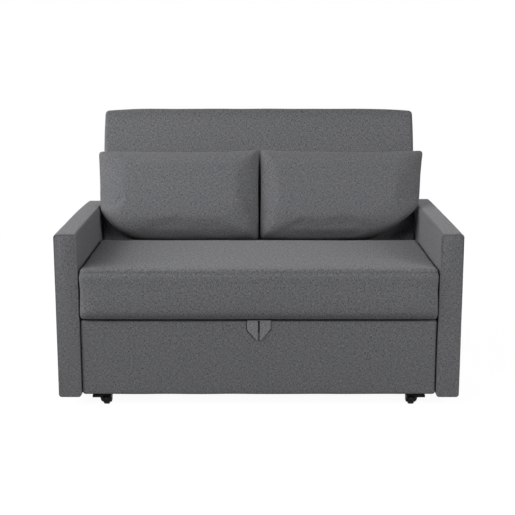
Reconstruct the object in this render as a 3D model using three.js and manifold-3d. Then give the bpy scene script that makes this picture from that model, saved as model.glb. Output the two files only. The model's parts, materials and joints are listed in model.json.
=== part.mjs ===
import * as THREE from 'three';
import { mergeGeometries, mergeVertices } from 'three/addons/utils/BufferGeometryUtils.js';
import Module from 'manifold-3d';

const wasm = await Module();
wasm.setup();

// A two seat sofa that turns into a bed. Lengths are millimetres, X runs across, Y to the back, Z up.
// While it is drawn, Y is zero at the front face of the arms and Z is zero on the floor.

// Clearances and steps that every sub-part shares
const fitGap = 0.3;
const slideGap = 1;
const cutOverrun = 5;
const weldDistance = 0.0005;
const arcSteps = 2;
const roundSteps = 6;
const pinSides = 16;
const ringSides = 20;
const roundStepShares = [0, Math.tan(Math.PI / 8), 1];

// Arms
const overallWidth = 1380;
const armThickness = 78;
const armTop = 610;
const armBottom = 38;
const armTopRadius = 16;
const armBottomRadius = 10;
const armFaceRadius = 7;

// Feet under the arms
const footTopRadius = 22;
const footTipRadius = 17;
const footCollarHeight = 12;
const footTipRound = 3;
const frontFootSetback = 165;
const rearFootSetback = 120;

// Casters under the front of the trolley
const wheelRadius = 17;
const wheelWidth = 22;
const wheelHubRadius = 6;
const wheelDishDepth = 3;
const wheelTreadRound = 5;
const wheelRim = 3;
const axleRadius = 3;
const casterInset = 50;
const casterSetback = 15;
const casterPlateThickness = 8;
const casterPlateOuter = 47;
const casterPlateLap = 4;
const casterRoof = 2;
const casterInnerCheek = 6.5;
const casterInnerFlare = 4.5;
const casterOuterCheek = 10;
const casterOuterFlare = 8;
const casterFlareRise = 7;
const casterCheekRadius = 10;
const wheelSideGap = 0.5;
const wheelTopGap = 2;

// Slatted trolley that carries the lower half of the bed
const trolleyBoardThickness = 20;
const trolleyBoardHeight = 87.4;
const trolleyBeamThickness = 21.7;
const trolleyBeamLift = 15.7;
const trolleyTravelRoom = 48;
const trolleyTailRoom = 76;
const trolleyRunnerGap = 8;
const trolleyCornerRadius = 18;
const centreBeamThickness = 22;
const slatCount = 6;
const slatWidth = 64;
const slatThickness = 12;
const slatRadius = 5;

// Upholstered front panel of the trolley and its pull tab
const panelSetback = 6;
const panelThickness = 24;
const panelSideGap = 4;
const panelBottom = 47;
const panelBelowBed = 8.6;
const panelRadius = 7;
const tabHalf = 44;
const tabStraight = 35;
const tabDrop = 74;
const tabThickness = 2.6;
const tabStandOff = 0.6;
const tabSlit = 4;
const tabSlitEndShare = 0.9;
const tabTurnBack = 18;

// Runners on the arms and the rollers that run in them
const runnerLift = 21.7;
const runnerWall = 2.5;
const runnerFront = 50;
const runnerLip = 4;
const runnerTail = 35;
const rollerRadius = 11;
const rollerWidth = 11;
const rollerLipGap = 0.5;
const rollerTopGap = 2.7;
const rollerWebGap = 5.6;
const rollerGroove = 1.5;
const rollerStopGap = 1.5;
const rollerBoltHead = 1.6;
const rollerBoltHeadRadius = 6;
const trolleyTail = 25;

// Fixed base between the arms: rails, springs and mattress
const railThickness = 22;
const railHeight = 40;
const railSetback = 4;
const railOverTrolley = 5;
const railTail = 6;
const springCount = 5;
const springWireRadius = 2;
const springSwing = 22;
const springWaves = 6;
const springStepsPerWave = 7;
const springArch = 6;
const springBearing = 11;
const springSides = 5;
const mattressSideGap = 6;
const mattressRadius = 12;
const rearPanelThickness = 18;
const rearPanelSetback = 6;
const rearPanelBottom = 44;
const rearPanelUnderBack = 19.6;
const rearPanelRadius = 4;

// Seat cushion that flips forward, and the strip that hinges it
const seatOverhang = 12;
const seatDepth = 552;
const seatThickness = 165;
const seatRadius = 17;
const seatSideGap = 6;
const seatCrown = 10;
const seatFrontBulge = 6;
const seatSideDraw = 2;
const seatOverSlats = 4.6;
const seatRearGap = 11;
const stripSideMargin = 72;
const stripThickness = 1.6;
const stripOverTab = 0.7;
const stripEdgeRadius = 0.5;

// Backrest that reclines about an axis across its foot
const backThickness = 124;
const backRise = 720;
const backLean = THREE.MathUtils.degToRad(11);
const backSideGap = 14;
const backFootGap = 5.8;
const backTopRadius = 30;
const backEdgeRadius = 14;
const backFrontCrown = 6;
const backTopCrown = 9;
const coverThickness = 8;
const coverSideMargin = 22;
const coverFoot = 30;
const coverHeadMargin = 45;
const ladderThickness = 24;
const ladderMargin = 24;
const ladderRailWidth = 60;
const ladderBays = 3;

// Hinges at the two ends of the backrest
const hingeHeadRadius = 30;
const hingePinRadius = 6;
const leafThickness = 4;
const leafWidth = 36;
const leafLength = 200;
const hingePlateThickness = 3.3;
const hingePlateHeadRadius = 34;
const hingePlateDrop = 112;
const hingePlateFront = 29;
const hingePlateBack = 71;
const hingePlateRadius = 10;

// Loose lumbar pillows in front of the backrest
const pillowSideGap = 7;
const pillowHeight = 350;
const pillowSplit = 6;
const pillowFrontSwell = 80;
const pillowRearSwell = 38;
const pillowStandOff = 1;
const pillowTuck = 26;
const pillowLift = 1.5;
const pillowSideDraw = 9;
const pillowEndDraw = 7;
const pillowEar = 7;
const pillowEdgeShare = 0.32;
const pillowFootRoundShare = 0.3;
const pillowCastShare = 0.2;
const pillowSpansAcross = 16;
const pillowSpansUp = 12;

// Places across the sofa that follow from the sizes above
const bayHalf = overallWidth / 2 - armThickness;
const armInnerFace = bayHalf - fitGap;
const railHalf = armInnerFace - railThickness - fitGap;
const springPitch = (2 * railHalf) / springCount;
const runnerWidth = 2 * runnerWall + rollerLipGap + rollerWidth + rollerBoltHead + rollerWebGap;
const trolleyHalf = armInnerFace - runnerWidth - trolleyRunnerGap;
const rollerInset = trolleyRunnerGap + runnerWall + rollerLipGap;
const boardInner = trolleyHalf - trolleyBoardThickness;
const casterX = trolleyHalf - casterInset;
const casterSlotHalf = wheelWidth / 2 + wheelSideGap;
const casterInnerFace = casterX - casterSlotHalf - casterInnerCheek;
const casterOuterFace = casterX + casterSlotHalf + casterOuterCheek;
const stripHalf = bayHalf - stripSideMargin;
const backHalf = bayHalf - backSideGap;
const pillowWidth = bayHalf - pillowSplit / 2 - pillowSideGap;

// Heights, from the casters up to the bed and the seat
const wheelBoreRadius = axleRadius + fitGap;
const wheelTreadDip = wheelTreadRound * (1 - Math.SQRT1_2);
const hingeHoleRadius = hingePinRadius + fitGap;
const casterSlotTop = 2 * wheelRadius + wheelTopGap;
const casterHeight = casterSlotTop + casterRoof;
const boardBottom = casterHeight + fitGap;
const boardTop = boardBottom + trolleyBoardHeight;
const trolleyBeamBottom = boardBottom + trolleyBeamLift;
const slatBottom = boardTop + fitGap;
const slatTop = slatBottom + slatThickness;
const runnerBottom = boardBottom + runnerLift;
const runnerHeight = 2 * runnerWall + 2 * rollerRadius + fitGap + rollerTopGap;
const rollerZ = runnerBottom + runnerWall + fitGap + rollerRadius;
const railBottom = slatTop + railOverTrolley;
const railTop = railBottom + railHeight;
const springRest = railTop + fitGap + springWireRadius;
const mattressBottom = springRest + springWireRadius + springArch + fitGap;
const bedTop = slatTop + seatOverSlats + seatThickness + seatCrown;
const mattressThickness = bedTop - mattressBottom;
const seatBottom = bedTop + 2 * fitGap;
const panelTop = bedTop - panelBelowBed;
const stripBottom = panelTop + fitGap + tabThickness + stripOverTab;
const backReach = backThickness / 2;
const backAxisZ = bedTop - backReach;
const rearPanelTop = bedTop - backThickness - rearPanelUnderBack;

// Depths, from the front panel to the rear panel
const panelRear = panelSetback + panelThickness;
const casterY = panelRear + casterSetback;
const casterPlateHalf = casterCheekRadius + casterPlateThickness + casterPlateLap;
const boardFront = panelRear + fitGap;
const railFront = panelRear + railSetback;
const seatFront = -seatOverhang;
const seatRear = seatFront + seatDepth;
const mattressFront = panelRear + slideGap;
const mattressRear = seatRear + seatRearGap;
const trolleyTravel = seatDepth + trolleyTravelRoom;
const rollerY = runnerFront + runnerWall + rollerStopGap + rollerRadius + trolleyTravel;
const trolleyRear = rollerY + trolleyTail;
const frontBeamRear = boardFront + trolleyBeamThickness;
const rearBeamFront = trolleyRear - trolleyBeamThickness;
const armDepth = trolleyRear + trolleyTailRoom + rearPanelThickness + rearPanelSetback;
const backAxisY = mattressRear + backFootGap + backReach;

const alongX = new THREE.Vector3(1, 0, 0);
const alongY = new THREE.Vector3(0, 1, 0);
const alongZ = new THREE.Vector3(0, 0, 1);

function fabricFinish() {
  return new THREE.MeshStandardMaterial({ color: 0x58595d, roughness: 0.94, metalness: 0 });
}

function tickingFinish() {
  return new THREE.MeshStandardMaterial({ color: 0x3a3b3e, roughness: 0.95, metalness: 0 });
}

function woodFinish() {
  return new THREE.MeshStandardMaterial({ color: 0xc7a878, roughness: 0.7, metalness: 0 });
}

function blackPlasticFinish() {
  return new THREE.MeshStandardMaterial({ color: 0x141415, roughness: 0.5, metalness: 0 });
}

function blackSteelFinish() {
  return new THREE.MeshStandardMaterial({ color: 0x1d1e20, roughness: 0.45, metalness: 0.6 });
}

function brightSteelFinish() {
  return new THREE.MeshStandardMaterial({ color: 0xa3a6aa, roughness: 0.35, metalness: 0.9 });
}

// Drops everything but position and joins the vertices that meet, so that a shape is one skin.
function weld(geometry) {
  geometry.deleteAttribute('normal');
  geometry.deleteAttribute('uv');
  return mergeVertices(geometry, weldDistance);
}

function solidOf(geometry) {
  const skin = weld(geometry);
  const vertProperties = new Float32Array(skin.attributes.position.array);
  const triVerts = new Uint32Array(skin.index.array);
  return new wasm.Manifold(new wasm.Mesh({ numProp: 3, vertProperties, triVerts }));
}

function geometryOf(solid) {
  const mesh = solid.getMesh();
  const geometry = new THREE.BufferGeometry();
  geometry.setAttribute('position', new THREE.BufferAttribute(mesh.vertProperties, 3));
  geometry.setIndex(new THREE.BufferAttribute(mesh.triVerts, 1));
  return geometry;
}

function place(parent, name, geometry, material) {
  const skin = weld(geometry);
  skin.computeVertexNormals();
  const mesh = new THREE.Mesh(skin, material);
  mesh.name = name;
  parent.add(mesh);
  return mesh;
}

// Draws a sub-part for the right hand side and its mirror image for the left.
function placePair(parent, name, makeGeometry, makeMaterial) {
  place(parent, `${name}_right`, makeGeometry(), makeMaterial());
  const left = place(parent, `${name}_left`, makeGeometry(), makeMaterial());
  left.scale.x = -1;
}

// An outline in Y and Z becomes a solid along X, from start to end.
function extrudeAcross(outline, start, end, curveSegments = arcSteps) {
  const options = { depth: end - start, bevelEnabled: false, curveSegments };
  const geometry = new THREE.ExtrudeGeometry(outline, options);
  geometry.applyMatrix4(new THREE.Matrix4().makeBasis(alongY, alongZ, alongX));
  return geometry.translate(start, 0, 0);
}

// An outline in X and Z becomes a solid along Y, with rounded edges at both ends if asked.
function extrudeAlong(outline, front, rear, edgeRadius = 0) {
  const options = {
    depth: rear - front - 2 * edgeRadius,
    bevelEnabled: edgeRadius > 0,
    bevelThickness: edgeRadius,
    bevelSize: edgeRadius,
    bevelOffset: -edgeRadius,
    bevelSegments: 3,
    curveSegments: arcSteps,
  };
  const geometry = new THREE.ExtrudeGeometry(outline, options);
  geometry.applyMatrix4(new THREE.Matrix4().makeBasis(alongX, alongZ, alongY.clone().negate()));
  return geometry.translate(0, rear - edgeRadius, 0);
}

// A rectangle between two corners, with its own radius at the foot and at the head.
function roundedOutline(left, foot, right, head, footRadius, headRadius = footRadius) {
  const quarter = Math.PI / 2;
  const outline = new THREE.Shape();
  outline.absarc(right - footRadius, foot + footRadius, footRadius, -quarter, 0);
  outline.absarc(right - headRadius, head - headRadius, headRadius, 0, quarter);
  outline.absarc(left + headRadius, head - headRadius, headRadius, quarter, 2 * quarter);
  outline.absarc(left + footRadius, foot + footRadius, footRadius, 2 * quarter, 3 * quarter);
  return outline;
}

function roundHole(centreAcross, centreUp, radius) {
  const hole = new THREE.Path();
  hole.absarc(centreAcross, centreUp, radius, 0, 2 * Math.PI, true);
  return hole;
}

function board(left, right, front, rear, foot, head) {
  const geometry = new THREE.BoxGeometry(right - left, rear - front, head - foot);
  return geometry.translate((left + right) / 2, (front + rear) / 2, (foot + head) / 2);
}

// A turned outline of radius and distance becomes a solid about an axis along X.
function turnAcross(profile, centreX, centreY, centreZ) {
  const geometry = new THREE.LatheGeometry(profile, ringSides);
  return geometry.rotateZ(-Math.PI / 2).translate(centreX, centreY, centreZ);
}

function pinAcross(radius, start, end, centreY, centreZ) {
  const geometry = new THREE.CylinderGeometry(radius, radius, end - start, pinSides);
  return geometry.rotateZ(Math.PI / 2).translate((start + end) / 2, centreY, centreZ);
}

// Lines across one side of a padded block: three in each rounded edge and even spans between.
function blockLines(half, radius, spans) {
  const core = half - radius;
  const near = roundStepShares.map((share) => -core - radius * share).reverse();
  const far = roundStepShares.map((share) => core + radius * share);
  const between = [];
  for (let i = 1; i < spans; i += 1) between.push(core * ((2 * i) / spans - 1));
  return [...near, ...between, ...far];
}

// A block with rounded edges, whose faces a swell function may push out or draw in.
function paddedBlock(half, radius, spans, swell) {
  const lines = [0, 1, 2].map((axis) => blockLines(half.getComponent(axis), radius, spans[axis]));
  const counts = lines.map((line) => line.length - 1);
  const geometry = new THREE.BoxGeometry(1, 1, 1, ...counts);
  const position = geometry.attributes.position;
  const core = half.clone().subScalar(radius);
  const farCore = core.clone().negate();
  const point = new THREE.Vector3();
  for (let i = 0; i < position.count; i += 1) {
    point.fromBufferAttribute(position, i);
    const steps = point.toArray().map((value, axis) => Math.round((value + 1 / 2) * counts[axis]));
    point.fromArray(steps.map((step, axis) => lines[axis][step]));
    const inner = point.clone().clamp(farCore, core);
    point.sub(inner).setLength(radius).add(inner);
    swell(point, point.clone().divide(half));
    position.setXYZ(i, point.x, point.y, point.z);
  }
  return weld(geometry);
}

function bow(share) {
  return 1 - share * share;
}

// Arms and feet

function makeArm() {
  const outline = roundedOutline(
    bayHalf, armBottom, bayHalf + armThickness, armTop, armBottomRadius, armTopRadius,
  );
  return extrudeAlong(outline, 0, armDepth, armFaceRadius);
}

function makeFoot(setback) {
  const height = armBottom - fitGap;
  const profile = [
    new THREE.Vector2(0, 0),
    new THREE.Vector2(footTipRadius - footTipRound, 0),
    new THREE.Vector2(footTipRadius, footTipRound),
    new THREE.Vector2(footTopRadius, height - footCollarHeight),
    new THREE.Vector2(footTopRadius, height),
    new THREE.Vector2(0, height),
  ];
  const geometry = new THREE.LatheGeometry(profile, ringSides);
  return geometry.rotateX(Math.PI / 2).translate(bayHalf + armThickness / 2, setback, 0);
}

// Fixed base

function makeSideRail() {
  const rear = mattressRear + railTail - slideGap;
  return board(armInnerFace - railThickness, armInnerFace, railFront, rear, railBottom, railTop);
}

function makeCrossRail(front) {
  return board(-railHalf, railHalf, front, front + railThickness, railBottom, railTop);
}

class SinuousWire extends THREE.Curve {
  constructor(centreX, front, rear) {
    super();
    this.centreX = centreX;
    this.front = front;
    this.rear = rear;
  }

  getPoint(share, target = new THREE.Vector3()) {
    const swing = springSwing * Math.sin(2 * Math.PI * springWaves * share);
    const rise = springArch * Math.sin(Math.PI * share);
    const reach = THREE.MathUtils.lerp(this.front, this.rear, share);
    return target.set(this.centreX + swing, reach, springRest + rise);
  }
}

function makeSpring(centreX) {
  const front = railFront + springBearing;
  const rear = mattressRear - slideGap - springBearing;
  const section = new THREE.Shape();
  for (let i = 0; i < springSides; i += 1) {
    const turn = (2 * Math.PI * (i + 1 / 2)) / springSides;
    const corner = [springWireRadius * Math.cos(turn), springWireRadius * Math.sin(turn)];
    if (i === 0) section.moveTo(...corner);
    else section.lineTo(...corner);
  }
  return new THREE.ExtrudeGeometry(section, {
    steps: springWaves * springStepsPerWave,
    extrudePath: new SinuousWire(centreX, front, rear),
  });
}

function makeMattress() {
  const halfDepth = (mattressRear - mattressFront) / 2;
  const half = new THREE.Vector3(bayHalf - mattressSideGap, halfDepth, mattressThickness / 2);
  const geometry = paddedBlock(half, mattressRadius, [2, 1, 1], () => {});
  return geometry.translate(0, mattressFront + half.y, mattressBottom + half.z);
}

function makeStrip() {
  const outline = roundedOutline(
    0, stripBottom, mattressFront - fitGap, stripBottom + stripThickness, stripEdgeRadius,
  );
  return extrudeAcross(outline, -stripHalf, stripHalf);
}

function makeRearPanel() {
  const rear = armDepth - rearPanelSetback;
  const outline = roundedOutline(
    -armInnerFace, rearPanelBottom, armInnerFace, rearPanelTop, rearPanelRadius,
  );
  return extrudeAlong(outline, rear - rearPanelThickness, rear);
}

// A channel of two flanges and a web, with a short lip on each flange and a stop at each end.
function makeRunner() {
  const inner = armInnerFace - runnerWidth;
  const top = runnerBottom + runnerHeight;
  const rear = rollerY + runnerTail;
  const shell = solidOf(board(inner, armInnerFace, runnerFront, rear, runnerBottom, top));
  const mouthOutline = new THREE.Shape();
  const low = runnerBottom + runnerWall;
  const high = top - runnerWall;
  const web = armInnerFace - runnerWall;
  mouthOutline.moveTo(inner - cutOverrun, low + runnerLip);
  mouthOutline.lineTo(inner + runnerWall, low + runnerLip);
  mouthOutline.lineTo(inner + runnerWall, low);
  mouthOutline.lineTo(web, low);
  mouthOutline.lineTo(web, high);
  mouthOutline.lineTo(inner + runnerWall, high);
  mouthOutline.lineTo(inner + runnerWall, high - runnerLip);
  mouthOutline.lineTo(inner - cutOverrun, high - runnerLip);
  mouthOutline.closePath();
  const mouth = extrudeAlong(mouthOutline, runnerFront + runnerWall, rear - runnerWall);
  return geometryOf(shell.subtract(solidOf(mouth)));
}

// Trolley

function makeTrolleySide() {
  const outline = roundedOutline(
    boardFront, boardBottom, trolleyRear, boardTop, panelRadius, trolleyCornerRadius,
  );
  return extrudeAcross(outline, boardInner, trolleyHalf);
}

function makeTrolleyBeam(front) {
  const half = boardInner - fitGap;
  return board(-half, half, front, front + trolleyBeamThickness, trolleyBeamBottom, boardTop);
}

function makeCentreBeam() {
  const half = centreBeamThickness / 2;
  return board(-half, half, frontBeamRear + fitGap, rearBeamFront - fitGap, trolleyBeamBottom, boardTop);
}

function makeSlat(index) {
  const room = rearBeamFront - frontBeamRear;
  const centre = frontBeamRear + (room * (index + 1 / 2)) / slatCount;
  const reach = slatWidth / 2;
  const outline = roundedOutline(centre - reach, slatBottom, centre + reach, slatTop, slatRadius);
  return extrudeAcross(outline, -trolleyHalf, trolleyHalf);
}

function makeFrontPanel() {
  const halfHeight = (panelTop - panelBottom) / 2;
  const half = new THREE.Vector3(bayHalf - panelSideGap, panelThickness / 2, halfHeight);
  const geometry = paddedBlock(half, panelRadius, [2, 1, 1], () => {});
  return geometry.translate(0, panelSetback + half.y, panelBottom + half.z);
}

// The two strands of a folded strap, joined at the point where they meet, with a slit between them.
function makePullTab() {
  const top = panelTop + fitGap + tabThickness;
  const outline = new THREE.Shape();
  outline.moveTo(-tabHalf, top);
  outline.lineTo(-tabHalf, panelTop - tabStraight);
  outline.lineTo(0, panelTop - tabDrop);
  outline.lineTo(tabHalf, panelTop - tabStraight);
  outline.lineTo(tabHalf, top);
  outline.closePath();
  const slit = new THREE.Path();
  const slitHalf = tabSlit / 2;
  const slitFoot = panelTop - tabDrop * tabSlitEndShare;
  slit.moveTo(-slitHalf, panelTop - tabThickness);
  slit.lineTo(-slitHalf, slitFoot);
  slit.lineTo(slitHalf, slitFoot);
  slit.lineTo(slitHalf, panelTop - tabThickness);
  slit.closePath();
  outline.holes.push(slit);
  const rear = panelSetback - tabStandOff;
  const hanging = solidOf(extrudeAlong(outline, rear - tabThickness, rear));
  const turned = board(
    -tabHalf, tabHalf, rear - tabThickness, panelSetback + tabTurnBack, panelTop + fitGap, top,
  );
  return geometryOf(hanging.add(solidOf(turned)));
}

// Front view of a caster housing: a plate, and two rounded cheeks with a slot for the wheel between.
function casterFrontOutline() {
  const plateFoot = casterHeight - casterPlateThickness;
  const cheekFoot = wheelRadius - casterCheekRadius;
  const flareTop = cheekFoot + casterFlareRise;
  const outline = new THREE.Shape();
  outline.moveTo(casterInnerFace, casterHeight);
  outline.lineTo(casterInnerFace, flareTop);
  outline.quadraticCurveTo(casterInnerFace, cheekFoot, casterInnerFace + casterInnerFlare, cheekFoot);
  outline.lineTo(casterX - casterSlotHalf, cheekFoot);
  outline.lineTo(casterX - casterSlotHalf, casterSlotTop);
  outline.lineTo(casterX + casterSlotHalf, casterSlotTop);
  outline.lineTo(casterX + casterSlotHalf, cheekFoot);
  outline.lineTo(casterOuterFace - casterOuterFlare, cheekFoot);
  outline.quadraticCurveTo(casterOuterFace, flareTop, casterOuterFace, plateFoot);
  outline.lineTo(casterX + casterPlateOuter, plateFoot);
  outline.lineTo(casterX + casterPlateOuter, casterHeight);
  outline.closePath();
  return outline;
}

// Side view of the same housing: the plate, and cheeks that narrow to a round about the axle.
function casterSideOutline() {
  const plateFoot = casterHeight - casterPlateThickness;
  const outline = new THREE.Shape();
  outline.moveTo(casterY - casterPlateHalf, casterHeight);
  outline.lineTo(casterY - casterPlateHalf, plateFoot);
  outline.lineTo(casterY - casterCheekRadius - casterPlateThickness, plateFoot);
  outline.absarc(casterY, wheelRadius, casterCheekRadius, Math.PI, 2 * Math.PI);
  outline.lineTo(casterY + casterCheekRadius + casterPlateThickness, plateFoot);
  outline.lineTo(casterY + casterPlateHalf, plateFoot);
  outline.lineTo(casterY + casterPlateHalf, casterHeight);
  outline.closePath();
  outline.holes.push(roundHole(casterY, wheelRadius, wheelBoreRadius));
  return outline;
}

function makeCasterHousing() {
  const plateFront = casterY - casterPlateHalf;
  const front = extrudeAlong(casterFrontOutline(), plateFront, casterY + casterPlateHalf);
  const side = extrudeAcross(
    casterSideOutline(), casterX - casterPlateOuter, casterX + casterPlateOuter + cutOverrun, roundSteps,
  );
  return geometryOf(solidOf(front).intersect(solidOf(side)));
}

function makeCasterAxle() {
  const reach = casterSlotHalf + casterInnerCheek / 2;
  return pinAcross(axleRadius, casterX - reach, casterX + reach, casterY, wheelRadius);
}

function makeWheel() {
  const half = wheelWidth / 2;
  const shoulder = wheelRadius - wheelTreadRound;
  const rim = shoulder - wheelRim;
  const profile = [
    new THREE.Vector2(wheelBoreRadius, -half),
    new THREE.Vector2(wheelHubRadius, -half),
    new THREE.Vector2(wheelHubRadius, wheelDishDepth - half),
    new THREE.Vector2(rim, wheelDishDepth - half),
    new THREE.Vector2(rim, -half),
    new THREE.Vector2(shoulder, -half),
    new THREE.Vector2(wheelRadius - wheelTreadDip, wheelTreadDip - half),
    new THREE.Vector2(wheelRadius, wheelTreadRound - half),
    new THREE.Vector2(wheelRadius, half - wheelTreadRound),
    new THREE.Vector2(wheelRadius - wheelTreadDip, half - wheelTreadDip),
    new THREE.Vector2(shoulder, half),
    new THREE.Vector2(rim, half),
    new THREE.Vector2(rim, half - wheelDishDepth),
    new THREE.Vector2(wheelHubRadius, half - wheelDishDepth),
    new THREE.Vector2(wheelHubRadius, half),
    new THREE.Vector2(wheelBoreRadius, half),
    new THREE.Vector2(wheelBoreRadius, -half),
  ];
  return turnAcross(profile, casterX, casterY, wheelRadius);
}

function makeRoller() {
  const half = rollerWidth / 2;
  const waist = rollerRadius - rollerGroove;
  const profile = [
    new THREE.Vector2(wheelBoreRadius, -half),
    new THREE.Vector2(waist, -half),
    new THREE.Vector2(rollerRadius, rollerGroove - half),
    new THREE.Vector2(rollerRadius, half - rollerGroove),
    new THREE.Vector2(waist, half),
    new THREE.Vector2(wheelBoreRadius, half),
    new THREE.Vector2(wheelBoreRadius, -half),
  ];
  return turnAcross(profile, trolleyHalf + rollerInset + half, rollerY, rollerZ);
}

// A shouldered bolt: shank through the roller, collar on the board and head outside the roller.
function makeRollerBolt() {
  const start = trolleyHalf + fitGap;
  const rollerStart = trolleyHalf + rollerInset - fitGap;
  const rollerEnd = trolleyHalf + rollerInset + rollerWidth + fitGap;
  const profile = [
    new THREE.Vector2(0, start),
    new THREE.Vector2(rollerBoltHeadRadius, start),
    new THREE.Vector2(rollerBoltHeadRadius, rollerStart),
    new THREE.Vector2(axleRadius, rollerStart),
    new THREE.Vector2(axleRadius, rollerEnd),
    new THREE.Vector2(rollerBoltHeadRadius, rollerEnd),
    new THREE.Vector2(rollerBoltHeadRadius, rollerEnd + rollerBoltHead),
    new THREE.Vector2(0, rollerEnd + rollerBoltHead),
  ];
  return turnAcross(profile, 0, rollerY, rollerZ);
}

// Seat cushion

function makeSeat() {
  const half = new THREE.Vector3(bayHalf - seatSideGap, seatDepth / 2, seatThickness / 2);
  const geometry = paddedBlock(half, seatRadius, [10, 6, 3], (point, share) => {
    if (share.z > 0) point.z += seatCrown * bow(share.x ** 4) * bow(share.y ** 3) * share.z;
    if (share.y < 0) point.y += seatFrontBulge * share.y * bow(share.x ** 4) * bow(share.z);
    point.x -= seatSideDraw * share.x * bow(share.y) * bow(share.z);
  });
  return geometry.translate(0, seatFront + half.y, seatBottom + half.z);
}

// Backrest, drawn upright about its hinge axis

function backOutline() {
  const outline = new THREE.Shape();
  const quarter = Math.PI / 2;
  const shoulder = backRise - backTopRadius;
  const rounded = backReach - backTopRadius;
  const spans = 5;
  outline.absarc(0, 0, backReach, -2 * quarter, 0);
  outline.lineTo(backReach, shoulder);
  outline.absarc(rounded, shoulder, backTopRadius, 0, quarter);
  outline.absarc(-rounded, shoulder, backTopRadius, quarter, 2 * quarter);
  for (let i = 1; i < spans; i += 1) outline.lineTo(-backReach, shoulder * (1 - i / spans));
  return outline;
}

function makeBackPad() {
  const options = {
    depth: 2 * (backHalf - backEdgeRadius),
    steps: 8,
    bevelThickness: backEdgeRadius,
    bevelSize: backEdgeRadius,
    bevelOffset: -backEdgeRadius,
    bevelSegments: 3,
    curveSegments: roundSteps / 2,
  };
  const geometry = new THREE.ExtrudeGeometry(backOutline(), options);
  geometry.applyMatrix4(new THREE.Matrix4().makeBasis(alongY, alongZ, alongX));
  geometry.translate(backEdgeRadius - backHalf, 0, 0);
  const position = geometry.attributes.position;
  const point = new THREE.Vector3();
  for (let i = 0; i < position.count; i += 1) {
    point.fromBufferAttribute(position, i);
    const across = bow((point.x / backHalf) ** 2);
    const up = Math.max(point.z, 0) / backRise;
    if (point.y < 0) point.y += backFrontCrown * (point.y / backReach) * across * bow(2 * up - 1);
    point.z += backTopCrown * across * up ** 2;
    position.setXYZ(i, point.x, point.y, point.z);
  }
  return geometry;
}

// Where the rear cover and the wooden ladder lie in the back of the pad.
const coverHalf = backHalf - coverSideMargin;
const coverHead = backRise - coverHeadMargin;
const coverFront = backReach - coverThickness;
const ladderHalf = coverHalf - ladderMargin;
const ladderFoot = coverFoot + ladderMargin;
const ladderHead = coverHead - ladderMargin;
const ladderRear = coverFront - fitGap;
const ladderFront = ladderRear - ladderThickness;

function makePocketedPad() {
  const coverSeat = board(
    -coverHalf - fitGap, coverHalf + fitGap, coverFront - fitGap, backReach + cutOverrun,
    coverFoot - fitGap, coverHead + fitGap,
  );
  const ladderSeat = board(
    -ladderHalf - fitGap, ladderHalf + fitGap, ladderFront - fitGap, coverFront,
    ladderFoot - fitGap, ladderHead + fitGap,
  );
  return geometryOf(solidOf(makeBackPad()).subtract(solidOf(coverSeat)).subtract(solidOf(ladderSeat)));
}

function makeRearCover() {
  const outline = roundedOutline(-coverHalf, coverFoot, coverHalf, coverHead, rearPanelRadius);
  return extrudeAlong(outline, coverFront, backReach);
}

function makeLadder() {
  const outline = roundedOutline(-ladderHalf, ladderFoot, ladderHalf, ladderHead, rearPanelRadius);
  const bayWidth = (2 * ladderHalf - (ladderBays + 1) * ladderRailWidth) / ladderBays;
  let ladder = solidOf(extrudeAlong(outline, ladderFront, ladderRear));
  for (let i = 0; i < ladderBays; i += 1) {
    const left = -ladderHalf + ladderRailWidth + i * (bayWidth + ladderRailWidth);
    const bay = board(
      left, left + bayWidth, ladderFront - cutOverrun, ladderRear + cutOverrun,
      ladderFoot + ladderRailWidth, ladderHead - ladderRailWidth,
    );
    ladder = ladder.subtract(solidOf(bay));
  }
  return geometryOf(ladder);
}

// A round head about the axis with a straight arm up the side of the backrest.
function makeHingeLeaf() {
  const reach = leafWidth / 2;
  const rise = Math.sqrt(hingeHeadRadius ** 2 - reach ** 2);
  const lean = Math.atan2(rise, reach);
  const outline = new THREE.Shape();
  outline.absarc(0, 0, hingeHeadRadius, Math.PI - lean, 2 * Math.PI + lean);
  outline.absarc(0, leafLength - reach, reach, 0, Math.PI);
  outline.closePath();
  outline.holes.push(roundHole(0, 0, hingeHoleRadius));
  return extrudeAcross(outline, backHalf + fitGap, backHalf + fitGap + leafThickness, roundSteps);
}

// A plate on the arm with a round head, and the ratchet drum that stands on it.
function makeHingePlate() {
  const inner = armInnerFace - hingePlateThickness;
  const foot = new THREE.Shape();
  foot.moveTo(-hingePlateFront + hingePlateRadius, -hingePlateDrop);
  const cornerUp = hingePlateRadius - hingePlateDrop;
  const quarter = Math.PI / 2;
  foot.absarc(hingePlateBack - hingePlateRadius, cornerUp, hingePlateRadius, -quarter, 0);
  foot.absarc(0, 0, hingePlateHeadRadius, 0, 2 * quarter);
  foot.absarc(hingePlateRadius - hingePlateFront, cornerUp, hingePlateRadius, 2 * quarter, 3 * quarter);
  foot.holes.push(roundHole(0, 0, hingeHoleRadius));
  const head = new THREE.Shape();
  head.absarc(0, 0, hingeHeadRadius, 0, 2 * Math.PI);
  head.holes.push(roundHole(0, 0, hingeHoleRadius));
  const plate = solidOf(extrudeAcross(foot, inner, armInnerFace, roundSteps));
  const drumStart = backHalf + 2 * fitGap + leafThickness;
  const drum = solidOf(extrudeAcross(head, drumStart, inner, roundSteps));
  return geometryOf(plate.add(drum)).translate(0, backAxisY, backAxisZ);
}

function makeHingePin() {
  return pinAcross(hingePinRadius, backHalf + fitGap, armInnerFace, backAxisY, backAxisZ);
}

// Pillows: two skins that meet in a knife edge

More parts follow.
